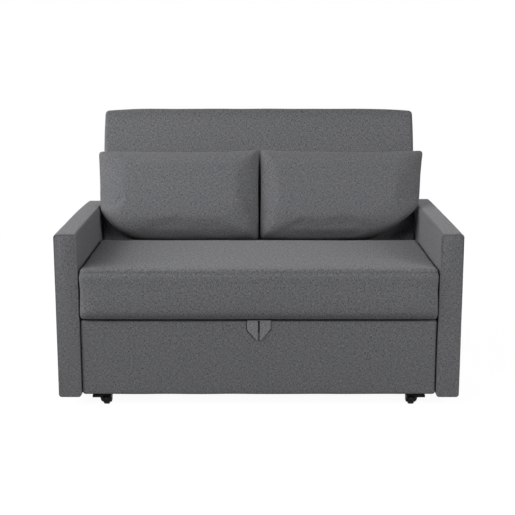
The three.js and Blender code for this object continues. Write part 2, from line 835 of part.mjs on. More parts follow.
function pillowSkin(swell, facesRear) {
  const geometry = new THREE.PlaneGeometry(1, 1, pillowSpansAcross, pillowSpansUp);
  const position = geometry.attributes.position;
  for (let i = 0; i < position.count; i += 1) {
    const u = Math.sin(Math.PI * position.getX(i));
    const v = Math.sin(Math.PI * position.getY(i));
    const outer = Math.max(u, 0);
    const round = pillowFootRoundShare * (outer * Math.max(-v, 0)) ** 2;
    const ear = pillowEar * (outer * Math.max(v, 0)) ** 6;
    const x = (u * pillowWidth) / 2 * (1 - round) - pillowSideDraw * u * bow(v) + ear;
    const z = (v * pillowHeight) / 2 * (1 - round) - pillowEndDraw * v * bow(u);
    const belly = (Math.max(bow(u) * bow(v), 0)) ** pillowEdgeShare;
    const depth = swell * belly * (1 + pillowCastShare * v);
    const tuck = pillowTuck * Math.max(-v, 0) ** 2;
    position.setXYZ(i, x, tuck + (facesRear ? depth : -depth), z);
  }
  if (facesRear) {
    const index = geometry.index;
    for (let i = 0; i < index.count; i += 3) {
      const second = index.getX(i + 1);
      index.setX(i + 1, index.getX(i + 2));
      index.setX(i + 2, second);
    }
  }
  return geometry;
}

function makePillow() {
  const front = pillowSkin(pillowFrontSwell, false);
  const rear = pillowSkin(pillowRearSwell, true);
  const geometry = weld(mergeGeometries([front, rear]));
  const across = pillowSplit / 2 + pillowWidth / 2;
  const forward = backReach + backFrontCrown + pillowStandOff + pillowRearSwell;
  const foot = seatBottom + seatThickness + pillowLift - backAxisZ;
  const up = (foot - forward * Math.sin(backLean)) / Math.cos(backLean);
  return geometry.translate(across, -forward, up + pillowHeight / 2);
}

// The whole sofa

const sofa = new THREE.Group();
placePair(sofa, 'arm', makeArm, fabricFinish);
placePair(sofa, 'front_foot', () => makeFoot(frontFootSetback), blackPlasticFinish);
placePair(sofa, 'rear_foot', () => makeFoot(armDepth - rearFootSetback), blackPlasticFinish);
placePair(sofa, 'base_side_rail', makeSideRail, woodFinish);
place(sofa, 'base_front_rail', makeCrossRail(railFront), woodFinish());
place(sofa, 'base_rear_rail', makeCrossRail(mattressRear - slideGap - railThickness), woodFinish());
for (let i = 0; i < springCount; i += 1) {
  const centreX = springPitch * (i - (springCount - 1) / 2);
  place(sofa, `sinuous_spring_${i + 1}`, makeSpring(centreX), brightSteelFinish());
}
place(sofa, 'base_mattress', makeMattress(), tickingFinish());
place(sofa, 'seat_hinge_strip', makeStrip(), tickingFinish());
place(sofa, 'rear_panel', makeRearPanel(), fabricFinish());
placePair(sofa, 'runner', makeRunner, blackSteelFinish);
placePair(sofa, 'hinge_plate', makeHingePlate, blackSteelFinish);
placePair(sofa, 'hinge_pin', makeHingePin, brightSteelFinish);

const trolley = new THREE.Group();
sofa.add(trolley);
placePair(trolley, 'trolley_side', makeTrolleySide, woodFinish);
place(trolley, 'trolley_front_beam', makeTrolleyBeam(boardFront), woodFinish());
place(trolley, 'trolley_rear_beam', makeTrolleyBeam(rearBeamFront), woodFinish());
place(trolley, 'trolley_centre_beam', makeCentreBeam(), woodFinish());
for (let i = 0; i < slatCount; i += 1) {
  place(trolley, `slat_${i + 1}`, makeSlat(i), woodFinish());
}
place(trolley, 'front_panel', makeFrontPanel(), fabricFinish());
place(trolley, 'pull_tab', makePullTab(), fabricFinish());
placePair(trolley, 'caster_housing', makeCasterHousing, blackPlasticFinish);
placePair(trolley, 'caster_axle', makeCasterAxle, brightSteelFinish);
placePair(trolley, 'caster_wheel', makeWheel, blackPlasticFinish);
placePair(trolley, 'roller', makeRoller, blackPlasticFinish);
placePair(trolley, 'roller_bolt', makeRollerBolt, brightSteelFinish);

place(sofa, 'seat_cushion', makeSeat(), fabricFinish());

const backrest = new THREE.Group();
backrest.position.set(0, backAxisY, backAxisZ);
backrest.rotation.x = -backLean;
sofa.add(backrest);
place(backrest, 'backrest_pad', makePocketedPad(), fabricFinish());
place(backrest, 'backrest_frame', makeLadder(), woodFinish());
place(backrest, 'backrest_rear_cover', makeRearCover(), fabricFinish());
placePair(backrest, 'hinge_leaf', makeHingeLeaf, blackSteelFinish);
placePair(backrest, 'pillow', makePillow, fabricFinish);

// The origin is on the floor, under the middle of the sofa.
sofa.updateMatrixWorld(true);
const reach = new THREE.Box3().setFromObject(sofa, true);
sofa.position.y = -(reach.min.y + reach.max.y) / 2;

export default sofa;
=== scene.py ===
import json
import math
import time

import bmesh
import bpy
from mathutils import Matrix, Vector, noise


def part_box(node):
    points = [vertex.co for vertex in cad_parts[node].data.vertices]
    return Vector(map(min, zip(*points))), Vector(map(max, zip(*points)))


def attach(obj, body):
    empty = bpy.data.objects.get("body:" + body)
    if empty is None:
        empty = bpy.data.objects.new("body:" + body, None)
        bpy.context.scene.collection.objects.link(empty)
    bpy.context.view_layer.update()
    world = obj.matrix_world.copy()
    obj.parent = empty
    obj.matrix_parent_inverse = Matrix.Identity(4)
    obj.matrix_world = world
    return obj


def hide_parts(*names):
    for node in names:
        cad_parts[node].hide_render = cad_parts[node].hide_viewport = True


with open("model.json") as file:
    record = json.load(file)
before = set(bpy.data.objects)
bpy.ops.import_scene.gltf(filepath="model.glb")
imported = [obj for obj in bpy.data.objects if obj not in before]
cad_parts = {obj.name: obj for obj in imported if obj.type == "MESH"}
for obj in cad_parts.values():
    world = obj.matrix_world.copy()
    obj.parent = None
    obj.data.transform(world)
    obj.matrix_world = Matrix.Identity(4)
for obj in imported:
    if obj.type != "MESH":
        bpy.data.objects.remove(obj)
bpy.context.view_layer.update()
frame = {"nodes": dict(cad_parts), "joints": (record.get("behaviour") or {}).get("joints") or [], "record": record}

# A two seat sofa that opens into a bed. Everything is in metres: X across, Y to the back, Z up.
started = time.time()
nodes = frame["nodes"]
scene = bpy.context.scene
scene.view_settings.view_transform = "Standard"


def report(stage):
    print(f"{time.time() - started:6.1f} s  {stage}")


# Camera, lights, floor and backdrop

cameraSetup = {
    "place": (0, -4.1287, 1.294), "pitchDown": 11.57, "lens": 79.15, "sensor": 36, "shiftAcross": -0.0026,
}


def makeCamera(setup):
    data = bpy.data.cameras.new("camera")
    data.lens = setup["lens"]
    data.sensor_width = setup["sensor"]
    data.shift_x = setup["shiftAcross"]
    camera = bpy.data.objects.new("camera", data)
    camera.location = setup["place"]
    camera.rotation_euler = (math.radians(90 - setup["pitchDown"]), 0, 0)
    scene.collection.objects.link(camera)
    scene.camera = camera


lamps = {
    "keyLamp": {"place": (-2.4, -3.2, 3.0), "aim": (0, 0, 0.45), "size": (2.0, 1.6), "power": 82},
    "fillLamp": {"place": (2.8, -3.0, 1.9), "aim": (0, 0, 0.45), "size": (2.0, 2.0), "power": 102},
    "sideLamp": {"place": (-3.0, -0.7, 2.0), "aim": (0, 0, 0.45), "size": (2.2, 2.0), "power": 112},
    "rearLamp": {"place": (0.9, 3.6, 1.1), "aim": (0, 0, 0.5), "size": (2.0, 1.6), "power": 66},
}


def makeLamp(name, setup):
    data = bpy.data.lights.new(name, "AREA")
    data.shape = "RECTANGLE"
    data.size, data.size_y = setup["size"]
    data.energy = setup["power"]
    lamp = bpy.data.objects.new(name, data)
    place, aim = Vector(setup["place"]), Vector(setup["aim"])
    lamp.location = place
    lamp.rotation_euler = (aim - place).to_track_quat("-Z", "Y").to_euler()
    scene.collection.objects.link(lamp)


# Shader maths: a wire is one link or number of a node tree, so that sums can be written with it

class Wire:
    def __init__(self, finish, socket):
        self.finish, self.socket = finish, socket

    def maths(self, operation, *others):
        inputs = dict(enumerate([self, *others]))
        return self.finish.node("Math", {"operation": operation}, inputs)

    def __add__(self, other):
        return self.maths("ADD", other)

    def __sub__(self, other):
        return self.maths("SUBTRACT", other)

    def __rsub__(self, other):
        return self.maths("MULTIPLY", -1).maths("ADD", other)

    def __mul__(self, other):
        return self.maths("MULTIPLY", other)

    def __truediv__(self, other):
        return self.maths("DIVIDE", other)

    def __mod__(self, other):
        return self.maths("FLOORED_MODULO", other)

    def __abs__(self):
        return self.maths("ABSOLUTE")

    __radd__, __rmul__ = __add__, __mul__


class Finish:
    def __init__(self, data):
        data.use_nodes = True
        self.data, self.tree = data, data.node_tree

    def node(self, kind, settings=None, inputs=None, output=0):
        made = self.tree.nodes.new("ShaderNode" + kind)
        for key, value in (settings or {}).items():
            if key == "stops":
                while len(made.color_ramp.elements) < len(value):
                    made.color_ramp.elements.new(1)
                for element, (place, tone) in zip(made.color_ramp.elements, value):
                    element.position, element.color = place, (*tone, 1)
            else:
                setattr(made, key, value)
        self.feed(made, inputs or {})
        return Wire(self, made.outputs[output])

    def feed(self, made, inputs):
        for key, value in inputs.items():
            if isinstance(value, Wire):
                self.tree.links.new(value.socket, made.inputs[key])
            else:
                made.inputs[key].default_value = value

    def surface(self, inputs):
        self.feed(self.tree.nodes["Principled BSDF"], inputs)
        return self.data

    # a Mix node has its colours at inputs 6 and 7 and at output 2
    def mix(self, share, first, second):
        return self.node("Mix", {"data_type": "RGBA"}, {0: share, 6: first, 7: second}, 2)

    def noise(self, where, scale, detail=2.0, rough=0.5, dimensions="3D"):
        inputs = {"Vector": where, "Scale": scale, "Detail": detail, "Roughness": rough}
        return self.node("TexNoise", {"noise_dimensions": dimensions}, inputs)

    def spread(self, value, ends):
        return self.node("MapRange", None, {"Value": value, "To Min": ends[0], "To Max": ends[1]})

    def bump(self, height, strength, distance):
        return self.node("Bump", None, {"Height": height, "Strength": strength, "Distance": distance})


def newFinish(name):
    return Finish(bpy.data.materials.new(name))


def tone(colour, factor=1.0):
    return (*(channel * factor for channel in colour), 1)


floorSetup = {"size": 5.6, "bounce": 0.24, "shade": 0.10, "glow": 0.95}
worldSetup = {"ambient": 0.04, "ambientTone": (0.97, 0.985, 1.0)}


def seenRays(finish):
    rays = [finish.node("LightPath", output=name) for name in
            ("Is Camera Ray", "Is Glossy Ray", "Is Transmission Ray")]
    return (rays[0] + rays[1] + rays[2]).maths("MINIMUM", 1.0)


def makeFloor(setup):
    finish = newFinish("floorWhite")
    output = finish.tree.nodes["Material Output"]
    plain = finish.node("BsdfDiffuse", None, {"Color": tone((1, 1, 1), setup["bounce"])})
    shaded = finish.node("BsdfDiffuse", None, {"Color": tone((1, 1, 1), setup["shade"])})
    glow = finish.node("Emission", None, {"Strength": setup["glow"]})
    seen = finish.node("AddShader", None, {0: shaded, 1: glow})
    mixed = finish.node("MixShader", None, {0: seenRays(finish), 1: plain, 2: seen})
    finish.feed(output, {"Surface": mixed})
    bm = bmesh.new()
    bmesh.ops.create_grid(bm, x_segments=2, y_segments=2, size=setup["size"] / 2)
    mesh = bpy.data.meshes.new("floor")
    bm.to_mesh(mesh)
    bm.free()
    mesh.materials.append(finish.data)
    floor = bpy.data.objects.new("floor", mesh)
    scene.collection.objects.link(floor)


def makeWorld(setup):
    finish = Finish(bpy.data.worlds.new("whiteRoom"))
    scene.world = finish.data
    ambientInputs = {"Color": tone(setup["ambientTone"]), "Strength": setup["ambient"]}
    ambient = finish.node("Background", None, ambientInputs)
    white = finish.node("Background", None, {"Color": tone((1, 1, 1)), "Strength": 1.0})
    mixed = finish.node("MixShader", None, {0: seenRays(finish), 1: ambient, 2: white})
    finish.feed(finish.tree.nodes["World Output"], {"Surface": mixed})


makeCamera(cameraSetup)
for lampName, lampSetup in lamps.items():
    makeLamp(lampName, lampSetup)
makeFloor(floorSetup)
makeWorld(worldSetup)
report("camera, lamps and floor")


# Finishes

sofaCloth = {
    "base": (0.125, 0.127, 0.133), "pitch": 0.0015, "slub": 0.009, "slubContrast": 1.5, "slubSpread": 0.7,
    "warpOffset": 51.7, "patch": 240, "patchContrast": 0.50, "thread": 0.00035, "slubRelief": 0.6,
    "paintedSeamShade": 0.35, "puckerPitch": 95, "pucker": 0.0012, "bump": 0.75, "roughness": 0.94,
    "shine": 0.25, "sheen": 0.15, "sheenRoughness": 0.45,
}
bedCloth = dict(sofaCloth, base=(0.098, 0.100, 0.105), slubContrast=0.9, patchContrast=0.15)
tabCloth = dict(sofaCloth, base=(0.176, 0.179, 0.187), slubContrast=1.3)
# near black cloth for the hinge strip, also used for the sheet of painted shade behind the pull tab
stripAndShadeCloth = dict(bedCloth, base=(0.022, 0.022, 0.024))


def clothFinish(name, look):
    finish = newFinish(name)
    laid = finish.node("TexCoord", output="UV")
    across, up = (finish.node("SeparateXYZ", None, {0: laid}, axis) for axis in (0, 1))
    column, row = across / look["pitch"], up / look["pitch"]
    columnIndex, rowIndex = column.maths("FLOOR"), row.maths("FLOOR")

    # every thread has slubs of its own along its length
    def threadTone(along, index, offset):
        place = {0: along / look["slub"], 1: index * look["slubSpread"] + offset}
        where = finish.node("CombineXYZ", None, place)
        return finish.noise(where, 1.0, detail=2.5, rough=0.62, dimensions="2D")

    weft = threadTone(across, rowIndex, 0.0)
    warp = threadTone(up, columnIndex, look["warpOffset"])
    over = (columnIndex + rowIndex) % 2.0
    thread = weft * over + warp * (1 - over)
    patch = finish.noise(laid, look["patch"], detail=3.0, rough=0.6, dimensions="2D")
    level = 1 + (thread - 0.5) * (2 * look["slubContrast"]) + (patch - 0.5) * (2 * look["patchContrast"])
    # along seams and rims the colour is darkened: painted shade of the grooves; the same mark also raises small
    # puckers in the bump
    seam = finish.node("Attribute", {"attribute_name": "seam"}, output="Fac")
    level = level * (1 - seam * look["paintedSeamShade"])
    # the colour goes through Mix so that it keeps its tint, with room for threads up to twice as light
    colour = finish.mix(level * 0.5, tone((0, 0, 0)), tone(look["base"], 2.0))
    weftRound = abs((row * math.pi).maths("SINE"))
    warpRound = abs((column * math.pi).maths("SINE"))
    relief = weftRound * over + warpRound * (1 - over) + thread * look["slubRelief"]
    pucker = finish.noise(laid, look["puckerPitch"], detail=1.0, rough=0.5, dimensions="2D")
    height = relief * look["thread"] + pucker * seam * look["pucker"]
    bump = finish.bump(height, look["bump"], 1.0)
    return finish.surface({
        "Base Color": colour, "Roughness": look["roughness"], "Normal": bump,
        "Sheen Weight": look["sheen"], "Sheen Roughness": look["sheenRoughness"],
        "Specular IOR Level": look["shine"],
    })


def timberFinish(name, look, along):
    finish = newFinish(name)
    squeeze = [1.0, 1.0, 1.0]
    squeeze[along] = look["stretch"]
    where = finish.node("TexCoord", output="Object")
    lengthwise = finish.node("Mapping", None, {"Vector": where, "Scale": squeeze})
    rings = finish.noise(lengthwise, look["rings"])
    figure = abs((rings * look["ringCount"]) % 1.0 - 0.5) * 2
    fibre = finish.noise(lengthwise, look["fibres"], detail=3.0, rough=0.65)
    share = figure * look["ringShare"] + fibre * look["fibreShare"] - look["toneShift"]
    colour = finish.node("ValToRGB", {"stops": look["stops"]}, {"Fac": share})
    bump = finish.bump(fibre, look["bump"], look["relief"])
    return finish.surface({
        "Base Color": colour, "Roughness": finish.spread(fibre, look["gloss"]), "Normal": bump,
        "Specular IOR Level": look["shine"],
    })


timberLook = {
    "stretch": 0.045, "rings": 9, "ringCount": 5, "fibres": 230, "ringShare": 0.45, "fibreShare": 0.75,
    "toneShift": 0.1, "bump": 0.35, "relief": 0.0004, "gloss": (0.5, 0.68), "shine": 0.4,
    "stops": ((0.2, (0.36, 0.215, 0.10)), (0.5, (0.53, 0.36, 0.19)), (0.8, (0.66, 0.48, 0.28))),
}


def plasticFinish(name, look):
    finish = newFinish(name)
    where = finish.node("TexCoord", output="Object")
    grain = finish.noise(where, look["grain"], rough=0.6)
    smudge = finish.noise(where, look["smudge"], detail=3.0, rough=0.55)
    darkest, lightest = (tone(look["base"], factor) for factor in look["tints"])
    bump = finish.bump(grain, look["bump"], look["relief"])
    return finish.surface({
        "Base Color": finish.mix(smudge, darkest, lightest), "Normal": bump,
        "Roughness": finish.spread(smudge, look["gloss"]), "Metallic": look["metal"],
        "Coat Weight": look["coat"], "Coat Roughness": look["coatRoughness"],
        "Specular IOR Level": look["shine"],
    })


plasticLook = {
    "base": (0.006, 0.006, 0.007), "tints": (0.75, 1.3), "grain": 1400, "smudge": 26, "gloss": (0.42, 0.58),
    "bump": 0.4, "relief": 0.00012, "metal": 0.0, "coat": 0.0, "coatRoughness": 0.3, "shine": 0.12,
}
powderLook = dict(plasticLook, base=(0.014, 0.014, 0.015), grain=900, smudge=18, gloss=(0.36, 0.5),
                  relief=0.0002, coat=0.15, shine=0.5)
zincLook = dict(plasticLook, base=(0.46, 0.47, 0.49), grain=500, smudge=60, gloss=(0.26, 0.42),
                relief=0.00005, metal=1.0, shine=0.5)

sofaFabric = clothFinish("sofaFabric", sofaCloth)
bedFabric = clothFinish("bedFabric", bedCloth)
tabFabric = clothFinish("tabFabric", tabCloth)
stripAndShadeFabric = clothFinish("stripAndShadeFabric", stripAndShadeCloth)
timberAcross = timberFinish("timberAcross", timberLook, 0)
timberAlong = timberFinish("timberAlong", timberLook, 1)
blackPlastic = plasticFinish("blackPlastic", plasticLook)
blackSteel = plasticFinish("blackSteel", powderLook)
brightSteel = plasticFinish("brightSteel", zincLook)

# the solids whose own shape stays get their finish here
finishOf = {
    "black_plastic": blackPlastic, "black_steel": blackSteel, "bright_steel": brightSteel,
    "timber": timberAcross,
}
grainAlong = ("trolley_side", "base_side", "trolley_centre")
for row in frame["record"]["subparts"]:
    name, slotName = row["node"], row["material_slot"]
    if slotName in finishOf:
        materials = nodes[name].data.materials
        materials.clear()
        materials.append(timberAlong if name.startswith(grainAlong) else finishOf[slotName])
report("finishes")


# Steps that the padded pieces share

# how close points lie when they count as one, or as lying on a plane
closeness = {"cut": 0.0004, "seamCut": 0.0003, "sewn": 0.0006, "facing": 0.005, "rim": 1e-6}


def blockBetween(low, high):
    bm = bmesh.new()
    bmesh.ops.create_cube(bm, size=1)
    bmesh.ops.scale(bm, vec=Vector(high) - Vector(low), verts=bm.verts)
    bmesh.ops.translate(bm, vec=(Vector(low) + Vector(high)) / 2, verts=bm.verts)
    return bm


def edgesWhere(bm, test):
    return [edge for edge in bm.edges if test(edge.verts[0].co, edge.verts[1].co)]


def edgesAt(bm, axis, place):
    return edgesWhere(bm, lambda a, b: max(abs(a[axis] - place), abs(b[axis] - place)) < closeness["rim"])


def roundEdges(bm, edges, radius, steps=4):
    bmesh.ops.bevel(bm, geom=edges, offset=radius, segments=steps, profile=0.5, affect="EDGES", material=-1,
                    clamp_overlap=True)


def cutAt(bm, axis, place, closest):
    normal = Vector((0, 0, 0))
    normal[axis] = 1
    everything = bm.verts[:] + bm.edges[:] + bm.faces[:]
    bmesh.ops.bisect_plane(bm, geom=everything, plane_co=normal * place, plane_no=normal, dist=closest)


def cutEvenly(bm, axis, spacing):
    low = min(v.co[axis] for v in bm.verts)
    high = max(v.co[axis] for v in bm.verts)
    count = max(1, round((high - low) / spacing))
    for i in range(1, count):
        cutAt(bm, axis, low + (high - low) * i / count, closeness["cut"])


def facingAt(bm, end):
    near = [face for face in bm.faces if abs(face.calc_center_median().y - end) < closeness["facing"]]
    return max(near, key=lambda face: face.calc_area())


# sewn line round a facing: a narrow groove pressed into the padding, with its middle ring darkened in colour as
# painted shade of the groove
def sewLine(bm, end, shape, seamLayer):
    width, depth = shape["seamWidth"], shape["seamDepth"]
    insets = ((shape["facingMargin"], 0, 0), (width, -depth, shape["seamShade"]), (width, depth, 0))
    for thickness, push, shade in insets:
        facing = facingAt(bm, end)
        bmesh.ops.inset_region(bm, faces=[facing], thickness=thickness, depth=push)
        bmesh.ops.remove_doubles(bm, verts=facing.verts[:], dist=closeness["sewn"])
        for vert in facingAt(bm, end).verts:
            vert[seamLayer] = shade


seedShares = (1, 1.7, 0.6)


def softNoise(point, scale, seed):
    return noise.noise(Vector(point) * scale + Vector([seed * share for share in seedShares]))


# the cloth lies on each face along its threads, and runs on over the edges
# on top it can be drawn out towards the back, where deep is under 1
def layCloth(mesh, deep):
    mesh.update()
    layer = mesh.uv_layers.get("cloth") or mesh.uv_layers.new(name="cloth")
    shift = max(v.co.z for v in mesh.vertices) - min(v.co.y for v in mesh.vertices)
    for face in mesh.polygons:
        lean = [abs(n) for n in face.normal]
        axis = lean.index(max(lean))
        for loop in face.loop_indices:
            x, y, z = mesh.vertices[mesh.loops[loop].vertex_index].co
            layer.data[loop].uv = ((y, z), (x, z), (x, (y + shift) * deep))[axis]


def seamLayerOf(bm):
    return bm.verts.layers.float.get("seam") or bm.verts.layers.float.new("seam")


# points and faces get a fixed order, because cutting leaves them in one that changes from run to run
def orderedMesh(name, bm):
    seam = seamLayerOf(bm)
    points = sorted(bm.verts, key=lambda vert: tuple(vert.co))
    rank = {vert: i for i, vert in enumerate(points)}
    outlines = []
    for face in bm.faces:
        corners = [rank[vert] for vert in face.verts]
        first = corners.index(min(corners))
        outlines.append(corners[first:] + corners[:first])
    mesh = bpy.data.meshes.new(name)
    mesh.from_pydata([vert.co for vert in points], [], sorted(outlines))
    mesh.attributes.new("seam", "FLOAT", "POINT").data.foreach_set("value", [vert[seam] for vert in points])
    bm.free()
    return mesh


def addPiece(name, bm, finish, body, replaced=None, deep=1.0):
    mesh = orderedMesh(name, bm)
    piece = bpy.data.objects.new(name, mesh)
    scene.collection.objects.link(piece)
    mesh.materials.append(finish)
    mesh.shade_smooth()
    layCloth(mesh, deep)
    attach(piece, body)
    if replaced:
        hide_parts(replaced)


# Arms: a padded box whose facings are sewn in round their top corners

armShape = {
    "topRound": 0.013, "topSteps": 6, "footRound": 0.010, "faceRound": 0.0020, "facingMargin": 0.0002,
    "seamWidth": 0.0020, "seamDepth": 0.0014, "seamShade": 1.0, "seamHeight": 0.018, "spacing": 0.030,
    "crown": 0.0010, "ripple": 0.0006, "rippleScale": 9.0,
}
armSides = {
    "left": {"seamFade": 0.06, "rearDrop": 0.0075, "seed": 3.1},
    "right": {"seamFade": 0.25, "rearDrop": 0.0, "seed": 8.4},
}


def makeArm(side, place, shape):
    low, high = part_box(f"arm_{side}")
    bm = blockBetween(low, high)
    seam = seamLayerOf(bm)
    middle, length = (low + high) / 2, high.y - low.y
    alongTop = edgesWhere(bm, lambda a, b: abs(a.y - b.y) > length / 2 and a.z > middle.z)
    roundEdges(bm, alongTop, shape["topRound"], shape["topSteps"])
    alongFoot = edgesWhere(bm, lambda a, b: abs(a.y - b.y) > length / 2 and a.z < low.z + closeness["rim"])
    roundEdges(bm, alongFoot, shape["footRound"])
    for end in (low.y, high.y):
        roundEdges(bm, edgesAt(bm, 1, end), shape["faceRound"])
        sewLine(bm, end, shape, seam)
        for vert in bm.verts:
            if vert[seam] > 0 and vert.co.z < high.z - shape["seamHeight"]:
                vert.co.y, vert[seam] = end, 0
    for axis in (1, 2):
        cutEvenly(bm, axis, shape["spacing"])
    bm.normal_update()
    for vert in bm.verts:
        # the painted seam shade fades out below the top, sooner on the left arm than on the right, as the light
        # falls on each
        vert[seam] *= max(0, 1 - (high.z - vert.co.z) / place["seamFade"])
        reach = [1 - min(1, abs((vert.co[a] - middle[a]) / (high[a] - middle[a]))) ** 3 for a in range(3)]
        push = shape["crown"] * reach[1] * reach[2] if abs(vert.normal.x) > 0.5 else shape["crown"] * reach[1]
        push += shape["ripple"] * softNoise(vert.co, shape["rippleScale"], place["seed"])
        vert.co += vert.normal * push * (1 - vert[seam])
        rearShare, topShare = ((vert.co[a] - low[a]) / (high[a] - low[a]) for a in (1, 2))
        vert.co.z -= place["rearDrop"] * max(0, rearShare) ** 5 * max(0, topShare) ** 3
    addPiece(f"armCover_{side}", bm, sofaFabric, "frame", f"arm_{side}")


for side, place in armSides.items():
    makeArm(side, place, armShape)
report("arms")


# Cloth that is blown up by its filling

def inflate(piece, cloth, pinWeights):
    start = [v.co.copy() for v in piece.data.vertices]
    modifier = piece.modifiers.new("filling", "CLOTH")
    settings = modifier.settings
    settings.quality = cloth["quality"]
    settings.mass = cloth["mass"]
    settings.air_damping = cloth["airDamping"]
    for kind in ("tension", "compression", "shear", "bending"):
        setattr(settings, kind + "_stiffness", cloth[kind])
    settings.use_pressure = True
    settings.uniform_pressure_force = cloth["pressure"]
    settings.effector_weights.gravity = 0
    modifier.collision_settings.use_collision = False
    modifier.collision_settings.use_self_collision = False
    group = piece.vertex_groups.new(name="pins")
    for index, weight in enumerate(pinWeights):
        if weight > 0:
            group.add([index], weight, "REPLACE")
    settings.vertex_group_mass = "pins"
    settings.pin_stiffness = cloth["pinStiffness"]
    modifier.point_cache.frame_start = 1
    modifier.point_cache.frame_end = cloth["frames"]
    for step in range(1, cloth["frames"] + 1):
        scene.frame_set(step)
    depsgraph = bpy.context.evaluated_depsgraph_get()
    blown = piece.evaluated_get(depsgraph).to_mesh()
    ends = [v.co.copy() for v in blown.vertices]
    piece.modifiers.remove(modifier)
    piece.vertex_groups.clear()
    scene.frame_set(1)
    for vert, before, after in zip(piece.data.vertices, start, ends):
        moved = after - before
        if moved.length > cloth["cap"]:
            moved.length = cloth["cap"]
        vert.co = before + moved
    piece.data.update()


# Pillows: two panels joined in a knife edge, blown up, then leaned back and rested on the seat

joints = {joint["name"]: joint for joint in frame["joints"]}
hingePlace = Vector(joints["back_recline"]["pos_m"])
outward = Vector(joints["pillow_left_lift"]["axis"])
leanAngle = math.asin(outward.z / outward.length)
leaned = Matrix.Translation(hingePlace) @ Matrix.Rotation(-leanAngle, 4, "X")

pillowShape = {
    "halfHeight": 0.1740, "spacing": 0.0085, "evenShare": 0.55, "crowdShare": 0.45, "cornerRound": 0.020,
    "cornerCut": 0.29, "rollFoot": 0.050, "footLift": 0.40, "rollTop": 0.014, "rollOuter": 0.110,
    "frontSwell": 0.076, "rearSwell": 0.036, "crownShare": 0.08, "headShare": 0.44, "bellyPlace": -0.80,
    "innerBow": 0.004, "topSag": 0.004, "innerRise": 0.007, "wander": 0.0022, "wanderPitch": 13,
    "rimShade": 0.15, "smoothSteps": 18, "fold": 0.0034, "foldReach": 0.035, "foldPitch": 30,
    "foldSqueeze": 0.2, "tuck": 0.022, "forward": 0.107, "up": 0.3876,
}
pillowSides = {
    "left": {
        "outer": -1, "reach": (-0.6165, 0.0020), "rollInner": 0.075, "outerDraw": 0.014,
        "footRound": (0.165, 0.128), "footCut": 0.33, "seed": 1.3, "endSeed": 6.3,
    },
    "right": {
        "outer": 1, "reach": (0.0038, 0.6310), "rollInner": 0.045, "outerDraw": 0.034,
        "footRound": (0.250, 0.145), "footCut": 0.36, "seed": 3.3, "endSeed": 8.3,
    },
}
pillowCloth = {
    "quality": 6, "mass": 0.25, "airDamping": 3.0, "tension": 60, "compression": 60, "shear": 30,
    "bending": 0.6, "pressure": 4.0, "frames": 14, "cap": 0.008, "pin": 0.6, "pinStiffness": 1.0,
}


# where a point of the square pattern lies once its corners are cut round
def cutCorners(x, z, halfWidth, shape, place):
    for side in (-1, 1):
        for end in (-1, 1):
            wide, tall = (shape["cornerRound"],) * 2
            if side == place["outer"] and end < 0:
                wide, tall = place["footRound"]
            a = (x * side - halfWidth + wide) / wide
            b = (z * end - shape["halfHeight"] + tall) / tall
            if a > 0 and b > 0:
                cut = place["footCut"] if wide > shape["cornerRound"] else shape["cornerCut"]
                x = side * (halfWidth - wide + wide * a * (1 - cut * b * b))
                z = end * (shape["halfHeight"] - tall + tall * b * (1 - cut * a * a))
    return x, z


# rises from 0 at an edge to 1 at the given distance from it
def rollOff(distance, radius):
    return (1 - (1 - min(max(distance, 0) / radius, 1)) ** 3) ** 0.6


def pillowPoint(s, t, layer, shape, place):
    outer, seed = place["outer"], place["seed"]
    halfWidth = (place["reach"][1] - place["reach"][0]) / 2
    even, crowd = shape["evenShare"], shape["crowdShare"]
    spread = [even * share + crowd * math.sin(math.pi * share / 2) for share in (s, t)]
    x, z = spread[0] * halfWidth, spread[1] * shape["halfHeight"]
    gaps = [(1 - abs(spread[0])) * halfWidth, (1 - abs(spread[1])) * shape["halfHeight"]]
    out = s * outer
    rolls = [shape["rollOuter"] if out > 0 else place["rollInner"], shape["rollTop"]]
    if t < 0:
        rolls[1] = shape["rollFoot"] * (1 - shape["footLift"] * max(0, -out) ** 4)
    full = rollOff(gaps[0], rolls[0]) * rollOff(gaps[1], rolls[1])
    crown = 1 - shape["crownShare"] + shape["crownShare"] * (1 - s * s) * (1 - t * t)
    sink = max(0, (t - shape["bellyPlace"]) / (1 - shape["bellyPlace"]))
    crown *= 1 - (1 - shape["headShare"]) * sink * sink * (3 - 2 * sink)
    depth = (shape["rearSwell"] if layer else -shape["frontSwell"]) * full * crown

    x, z = cutCorners(x, z, halfWidth, shape, place)
    x -= outer * place["outerDraw"] * max(out, 0) ** 3 * (1 - t) / 2
    x += outer * shape["innerBow"] * max(-out, 0) ** 3 * (1 - t * t)
    z += max(t, 0) ** 3 * (shape["innerRise"] * max(-out, 0) ** 4 - shape["topSag"] * (1 - s * s))
    z += abs(t) ** 5 * shape["wander"] * softNoise((x, seed, t), shape["wanderPitch"], seed)
    return Vector((x, depth, z))


# folds run in from the seams, across them
def addFolds(verts, halfWidth, shape, place):
    pitch, squeeze, seed = shape["foldPitch"], shape["foldSqueeze"], place["seed"]
    for vert in verts:
        x, z = vert.co.x, vert.co.z
        gaps = (halfWidth - abs(x), shape["halfHeight"] - abs(z))
        near = [max(0, 1 - max(0, gap) / shape["foldReach"]) for gap in gaps]
        folds = near[1] * softNoise((x, seed, z * squeeze), pitch, seed)
        folds += near[0] * softNoise((x * squeeze, seed, z), pitch, place["endSeed"])
        vert.co.y -= shape["fold"] * folds


def lengthsAlong(points):
    middle = len(points) // 2
    lengths = [0.0] * len(points)
    for i in range(middle + 1, len(points)):
        lengths[i] = lengths[i - 1] + (points[i] - points[i - 1]).length
    for i in range(middle - 1, -1, -1):
        lengths[i] = lengths[i + 1] - (points[i + 1] - points[i]).length
    return lengths


